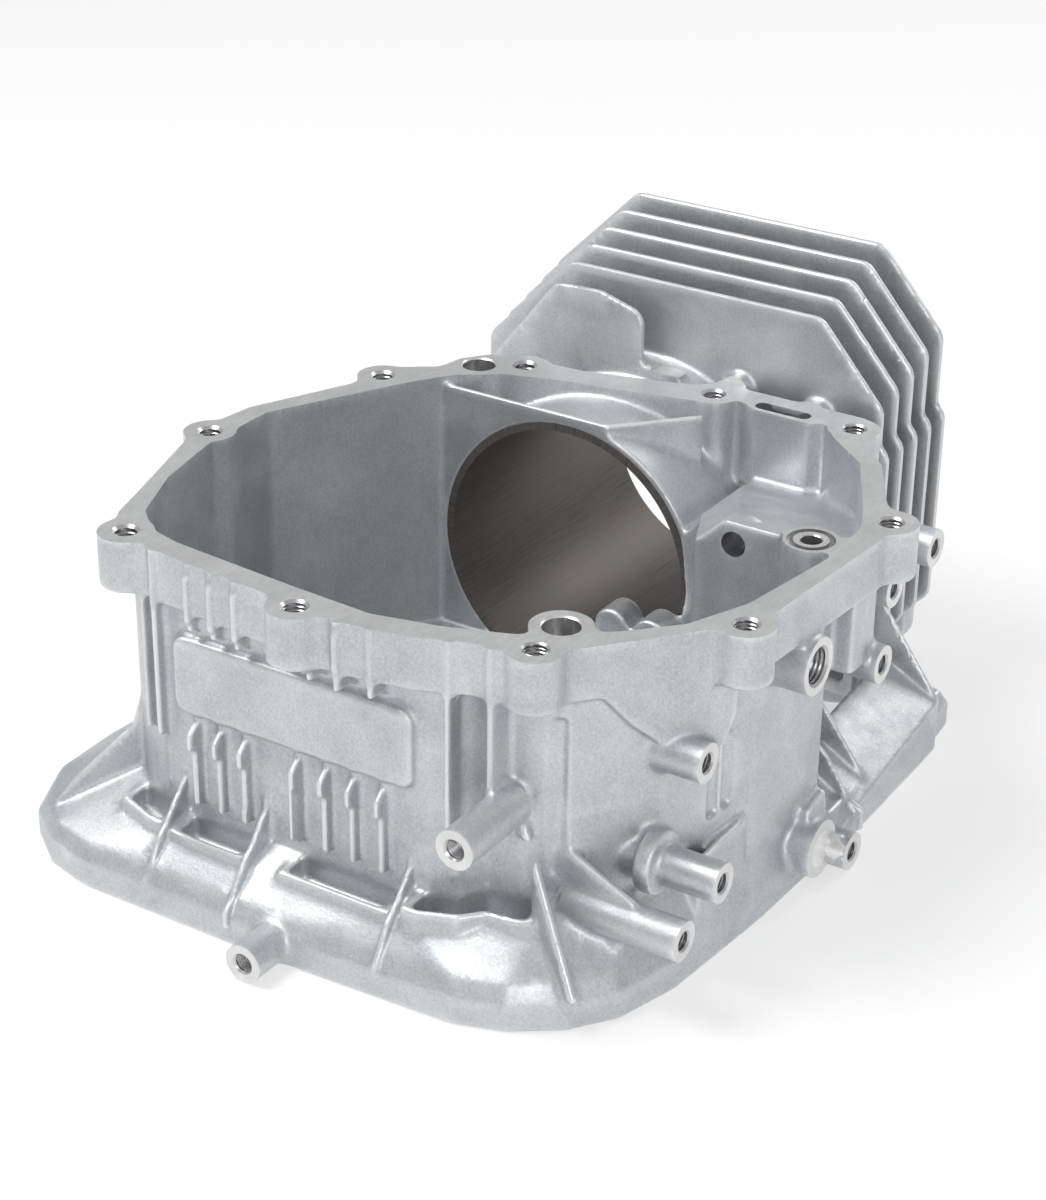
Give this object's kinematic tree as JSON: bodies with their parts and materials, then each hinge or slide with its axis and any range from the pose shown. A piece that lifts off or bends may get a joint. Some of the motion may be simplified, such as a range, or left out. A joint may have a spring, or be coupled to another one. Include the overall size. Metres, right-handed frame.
{
  "type": "engine block",
  "caption": "Cast engine block of a single-cylinder vertical-shaft engine, with finned barrel, iron sleeve, open sump face and flared base skirt.",
  "frame": {"origin": "mouth of the oil seal's seat on the crankshaft axis, which lies in the plane that the skirt stands on", "axes": "+Z along the crankshaft axis, out of the open sump face; +Y along the cylinder towards the head; +X to the side with the oil port"},
  "size_m": [0.2438, 0.306, 0.156],
  "materials": {
    "cast_alloy": "shot-blasted die casting with milled faces",
    "iron_sleeve": "honed",
    "plug_alloy": "bright pressed"
  },
  "bodies": {
    "root": {"crankcase": "cast_alloy", "cylinder_sleeve": "iron_sleeve", "gallery_plug": "plug_alloy"}
  },
  "joints": []
}
